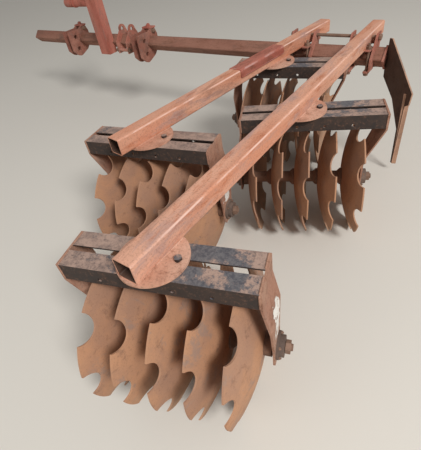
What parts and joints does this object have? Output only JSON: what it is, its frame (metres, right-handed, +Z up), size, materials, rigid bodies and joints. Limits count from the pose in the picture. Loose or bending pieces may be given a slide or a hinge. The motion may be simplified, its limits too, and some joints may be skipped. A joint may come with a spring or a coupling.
{
  "type": "side-mounted disc harrow",
  "caption": "Side-mounted offset disc harrow: a long square toolbar with a three-point hitch carries angled gangs of notched dished discs under two beams.",
  "frame": {"origin": "centre of the outline on the ground plane that the discs stand on", "axes": "+X along the toolbar from its free end to the soil shield, +Y across it away from the gangs, +Z up"},
  "size_m": [4.0116, 2.6486, 1.308],
  "materials": {
    "bar_rust": "worn paint, rusted",
    "beam_paint": "sun-faded paint over rust",
    "splice_paint": "worn paint, rusted",
    "clamp_paint": "sun-faded paint over rust",
    "mast_paint": "sun-faded paint over rust",
    "bracket_paint": "sun-faded paint over rust",
    "pivot_paint": "worn paint, rusted",
    "shield_rust": "rusted, matt",
    "rail_steel": "worn dark paint, rusted",
    "hanger_paint": "worn paint, rusted",
    "cast_grey": "weathered",
    "spool_iron": "rusted",
    "bare_steel": "rusted",
    "disc_rust": "rusted, matt"
  },
  "bodies": {
    "frame": {"toolbar": "bar_rust", "beam_right": "beam_paint", "beam_left": "beam_paint", "beam_splice": "splice_paint", "clamp_plates_right": "clamp_paint", "clamp_plates_left": "clamp_paint", "tie_rod": "bare_steel", "mast": "mast_paint", "mast_stub": "mast_paint", "mast_ears": "mast_paint", "mast_clamp": "clamp_paint", "link_bracket_right": "bracket_paint", "link_bracket_left": "bracket_paint", "shield_lug": "clamp_paint", "shield": "shield_rust", "pivot_plate_a": "pivot_paint", "pivot_plate_b": "pivot_paint", "pivot_plate_c": "pivot_paint", "pivot_plate_d": "pivot_paint"},
    "gang_a": {"rails_a": "rail_steel", "saddle_a": "rail_steel", "hangers_a": "hanger_paint", "bearings_a": "cast_grey"},
    "disc_set_a": {"axle_a": "bare_steel", "spools_a": "spool_iron", "discs_a": "disc_rust"},
    "gang_b": {"rails_b": "rail_steel", "saddle_b": "rail_steel", "hangers_b": "hanger_paint", "bearings_b": "cast_grey"},
    "disc_set_b": {"axle_b": "bare_steel", "spools_b": "spool_iron", "discs_b": "disc_rust"},
    "gang_c": {"rails_c": "rail_steel", "saddle_c": "rail_steel", "hangers_c": "hanger_paint", "bearings_c": "cast_grey"},
    "disc_set_c": {"axle_c": "bare_steel", "spools_c": "spool_iron", "discs_c": "disc_rust"},
    "gang_d": {"rails_d": "rail_steel", "saddle_d": "rail_steel", "hangers_d": "hanger_paint", "bearings_d": "cast_grey"},
    "disc_set_d": {"axle_d": "bare_steel", "spools_d": "spool_iron", "discs_d": "disc_rust"}
  },
  "joints": [
    {"name": "gang_a_swivel", "type": "hinge", "parent": "frame", "child": "gang_a", "pos_m": [1.60508, -0.96556, 0.7053], "axis": [0, 0, 1], "range_deg": [-4, 4]},
    {"name": "disc_set_a_roll", "type": "hinge", "parent": "gang_a", "child": "disc_set_a", "pos_m": [1.60508, -0.96556, 0.305], "axis": [0.9489, 0.3156, 0], "continuous": true},
    {"name": "gang_b_swivel", "type": "hinge", "parent": "frame", "child": "gang_b", "pos_m": [1.0364, -0.36356, 0.7053], "axis": [0, 0, 1], "range_deg": [-4, 4]},
    {"name": "disc_set_b_roll", "type": "hinge", "parent": "gang_b", "child": "disc_set_b", "pos_m": [1.0364, -0.36356, 0.305], "axis": [0.9736, 0.2284, 0], "continuous": true},
    {"name": "gang_c_swivel", "type": "hinge", "parent": "frame", "child": "gang_c", "pos_m": [1.60508, 0.13444, 0.7053], "axis": [0, 0, 1], "range_deg": [-4, 4]},
    {"name": "disc_set_c_roll", "type": "hinge", "parent": "gang_c", "child": "disc_set_c", "pos_m": [1.60508, 0.13444, 0.305], "axis": [0.9114, 0.4115, 0], "continuous": true},
    {"name": "gang_d_swivel", "type": "hinge", "parent": "frame", "child": "gang_d", "pos_m": [1.16678, 0.70444, 0.7053], "axis": [0, 0, 1], "range_deg": [-4, 4]},
    {"name": "disc_set_d_roll", "type": "hinge", "parent": "gang_d", "child": "disc_set_d", "pos_m": [1.16678, 0.70444, 0.305], "axis": [0.9744, 0.225, 0], "continuous": true}
  ]
}
